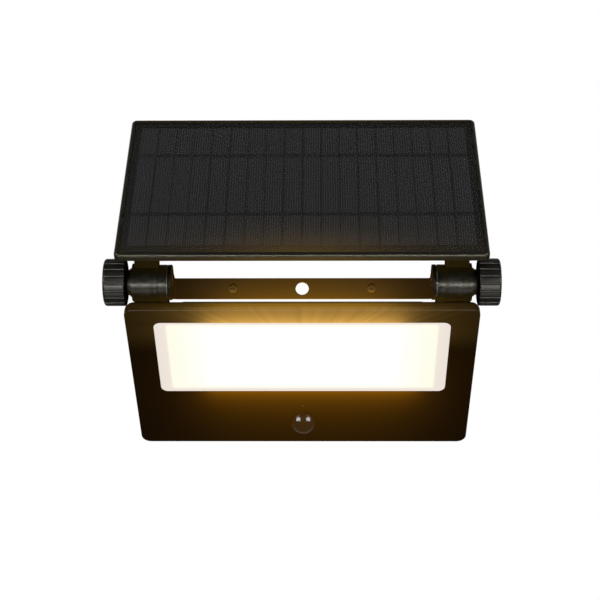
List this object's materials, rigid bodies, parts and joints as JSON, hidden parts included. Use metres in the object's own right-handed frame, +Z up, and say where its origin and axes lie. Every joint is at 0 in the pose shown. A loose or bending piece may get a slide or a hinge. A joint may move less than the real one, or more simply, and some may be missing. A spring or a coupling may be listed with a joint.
{
  "type": "solar flood light",
  "caption": "Folding solar flood light: a solar panel and a wide lamp head with a motion sensor tilt on one hinge line, clamped by ribbed knobs on a wall strap.",
  "frame": {"origin": "centre hole of the wall strap, on the strap's back face", "axes": "+X along the hinge line to the right as seen from the front, -Y out of the wall towards the viewer, +Z up"},
  "size_m": [0.213, 0.1192, 0.182],
  "materials": {
    "painted_steel": "satin black powder coat",
    "zinc_steel": "zinc plated",
    "fibre": "dull fibre washer",
    "black_plastic": "fine spark-eroded texture",
    "gloss_black": "polished",
    "knob_plastic": "semi-matt",
    "solar_cell": "dark monocrystalline cell",
    "busbar": "tinned ribbon blackened under the laminate",
    "cover_clear": "clear laminate",
    "panel_substrate": "black laminate board",
    "frosted_lens": "frosted diffuser",
    "white_plastic": "matt white",
    "rubber": "matt",
    "circuit_white": "white solder mask",
    "circuit_green": "green solder mask",
    "led_phosphor": "yellow phosphor",
    "component": "moulded components",
    "battery_wrap": "shrink sleeve",
    "sensor_lens": "smoked translucent dome",
    "sensor_can": "plated can",
    "indicator": "light pipe",
    "brass": "turned"
  },
  "bodies": {
    "bracket": {"wall_strap": "painted_steel", "strap_screws": "painted_steel", "hinge_studs": "zinc_steel", "friction_washers": "fibre"},
    "panel": {"panel_tray": "black_plastic", "panel_board": "panel_substrate", "solar_cells": "solar_cell", "cell_busbars": "busbar", "panel_cover": "cover_clear", "panel_arm_left": "black_plastic", "panel_arm_right": "black_plastic", "panel_arm_screws": "zinc_steel", "terminal_cover": "black_plastic", "panel_grommet": "rubber"},
    "head": {"head_housing": "black_plastic", "housing_seal": "rubber", "front_bezel": "gloss_black", "window_lens": "frosted_lens", "window_gasket": "rubber", "reflector_tray": "white_plastic", "led_board": "circuit_white", "led_chips": "led_phosphor", "control_board": "circuit_green", "control_parts": "component", "battery_cell": "battery_wrap", "battery_cradle": "component", "pir_dome": "sensor_lens", "pir_retainer": "black_plastic", "pir_sensor": "sensor_can", "indicator_pipe": "indicator", "power_switch": "component", "head_grommet": "rubber", "head_arm_left": "black_plastic", "head_arm_right": "black_plastic", "head_arm_screws": "zinc_steel", "housing_screws": "zinc_steel"},
    "button": {"power_button": "rubber"},
    "left_knob": {"knob_left": "knob_plastic", "knob_insert_left": "brass", "knob_washer_left": "zinc_steel"},
    "right_knob": {"knob_right": "knob_plastic", "knob_insert_right": "brass", "knob_washer_right": "zinc_steel"}
  },
  "joints": [
    {"name": "panel_tilt", "type": "hinge", "parent": "bracket", "child": "panel", "pos_m": [0, -0.016, 0], "axis": [1, 0, 0], "range_deg": [-57.5, 32.5]},
    {"name": "head_tilt", "type": "hinge", "parent": "bracket", "child": "head", "pos_m": [0, -0.016, 0], "axis": [1, 0, 0], "range_deg": [-61.5, 28.5]},
    {"name": "power_button_press", "type": "slide", "parent": "head", "child": "button", "axis": [0, -0.4772, -0.8788], "range_m": [0, 0.001], "stiffness_N_per_m": 600, "springref_m": -0.001},
    {"name": "knob_left_turn", "type": "hinge", "parent": "bracket", "child": "left_knob", "pos_m": [0, -0.016, 0], "axis": [-1, 0, 0], "range_deg": [0, 360]},
    {"name": "knob_right_turn", "type": "hinge", "parent": "bracket", "child": "right_knob", "pos_m": [0, -0.016, 0], "axis": [1, 0, 0], "range_deg": [0, 360]}
  ]
}
